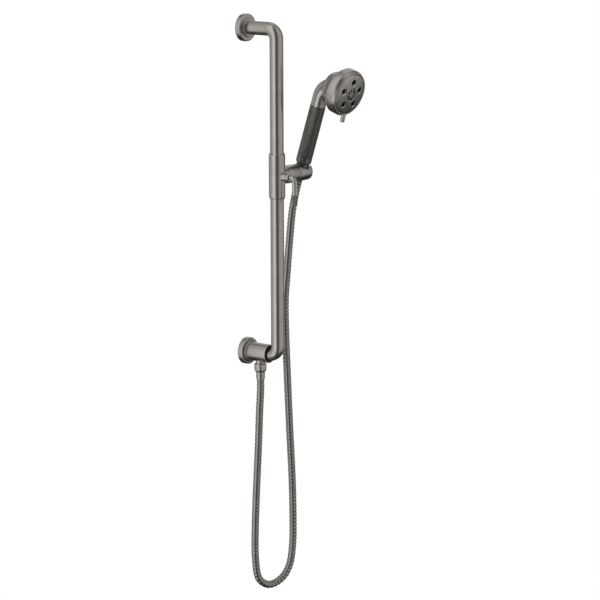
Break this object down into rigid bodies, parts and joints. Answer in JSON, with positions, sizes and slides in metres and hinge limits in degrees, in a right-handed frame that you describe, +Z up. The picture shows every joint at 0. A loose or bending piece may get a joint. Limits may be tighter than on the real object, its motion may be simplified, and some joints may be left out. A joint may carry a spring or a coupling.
{
  "type": "hand shower set on a slide bar",
  "caption": "Hand shower in a tilting holder on a wall-mounted slide bar, with a lever-locked slider, a wall supply elbow and a ribbed metal hose.",
  "frame": {"origin": "centre of the upper wall bracket's back face, on the wall", "axes": "+Z up along the bar, +Y into the wall, +X along the holder arm"},
  "size_m": [0.1395, 0.2052, 1.1044],
  "materials": {
    "brushed_nickel": "warm brushed nickel",
    "knurled_steel": "fine diamond knurl, dark",
    "hose_steel": "polished ribbed strip",
    "screw_steel": "plain steel",
    "brass": "machined",
    "rubber": "matt black",
    "nozzle_black": "soft black",
    "bush_white": "white acetal",
    "nylon_grey": "grey nylon"
  },
  "bodies": {
    "wall_set": {"slide_bar": "brushed_nickel", "upper_wall_bracket": "screw_steel", "upper_flange": "brushed_nickel", "upper_collar": "brushed_nickel", "upper_set_screw": "screw_steel", "lower_wall_seal": "rubber", "lower_flange": "brushed_nickel", "lower_collar": "brushed_nickel", "supply_body": "brushed_nickel", "bar_set_screw": "screw_steel", "bar_o_ring": "rubber", "outlet_spigot": "brushed_nickel", "supply_check_valve": "nylon_grey", "supply_hose_nut": "brushed_nickel", "supply_hose_washer": "rubber", "supply_ferrule": "brushed_nickel", "hose": "hose_steel"},
    "slider_bush": {"slider_bush": "bush_white"},
    "slider": {"slider_sleeve": "brushed_nickel", "holder_arm": "brushed_nickel", "lock_boss": "brushed_nickel", "clamp_shoe": "nylon_grey", "cradle_bolt": "screw_steel", "wave_washer": "screw_steel", "friction_disc": "nylon_grey"},
    "lock": {"lock_knob": "brushed_nickel", "lock_screw": "screw_steel", "lever_rod": "brushed_nickel", "lever_tip": "knurled_steel"},
    "cradle": {"swivel_cradle": "brushed_nickel", "cradle_liner": "nylon_grey"},
    "hose_cone": {"hose_cone_nut": "knurled_steel", "cone_stem": "brass", "cone_washer": "rubber"},
    "handset": {"handle_tail": "brushed_nickel", "flow_regulator": "nylon_grey", "grip_sleeve": "knurled_steel", "inner_tube": "brass", "neck_bush": "nylon_grey", "neck": "brushed_nickel", "head_shell": "brushed_nickel", "face_spindle": "brass", "spray_face": "brushed_nickel", "outlet_insert_1": "nozzle_black", "outlet_insert_2": "nozzle_black", "outlet_insert_3": "nozzle_black", "outlet_insert_4": "nozzle_black", "outlet_insert_5": "nozzle_black", "centre_nozzle_pad": "brushed_nickel", "detent_spring": "screw_steel", "detent_ball": "screw_steel"},
    "selector": {"selector_ring": "brushed_nickel", "diverter_disc": "nylon_grey"}
  },
  "joints": [
    {"name": "slider_slide", "type": "slide", "parent": "wall_set", "child": "slider_bush", "axis": [0, 0, 1], "range_m": [-0.265, 0.19], "deforming": ["hose"]},
    {"name": "slider_swivel", "type": "hinge", "parent": "slider_bush", "child": "slider", "pos_m": [0, -0.0765, -0.271], "axis": [0, 0, 1], "range_deg": [-90, 30], "deforming": ["hose"]},
    {"name": "lock_turn", "type": "hinge", "parent": "slider", "child": "lock", "pos_m": [0, -0.1, -0.271], "axis": [0, 1, 0], "range_deg": [0, 90]},
    {"name": "cradle_tilt", "type": "hinge", "parent": "slider", "child": "cradle", "pos_m": [0.0535, -0.0765, -0.271], "axis": [1, 0, 0], "range_deg": [-15, 30], "deforming": ["hose"]},
    {"name": "handset_lift", "type": "slide", "parent": "cradle", "child": "hose_cone", "axis": [0, -0.3019, 0.9533], "range_m": [0, 0.06], "deforming": ["hose"]},
    {"name": "handset_turn", "type": "hinge", "parent": "hose_cone", "child": "handset", "pos_m": [0.0735, -0.0765, -0.271], "axis": [0, -0.3019, 0.9533], "range_deg": [-30, 30]},
    {"name": "selector_turn", "type": "hinge", "parent": "handset", "child": "selector", "pos_m": [0.0735, -0.13114, -0.09844], "axis": [-0.0698, -0.951, -0.3011], "range_deg": [-60, 60]}
  ]
}
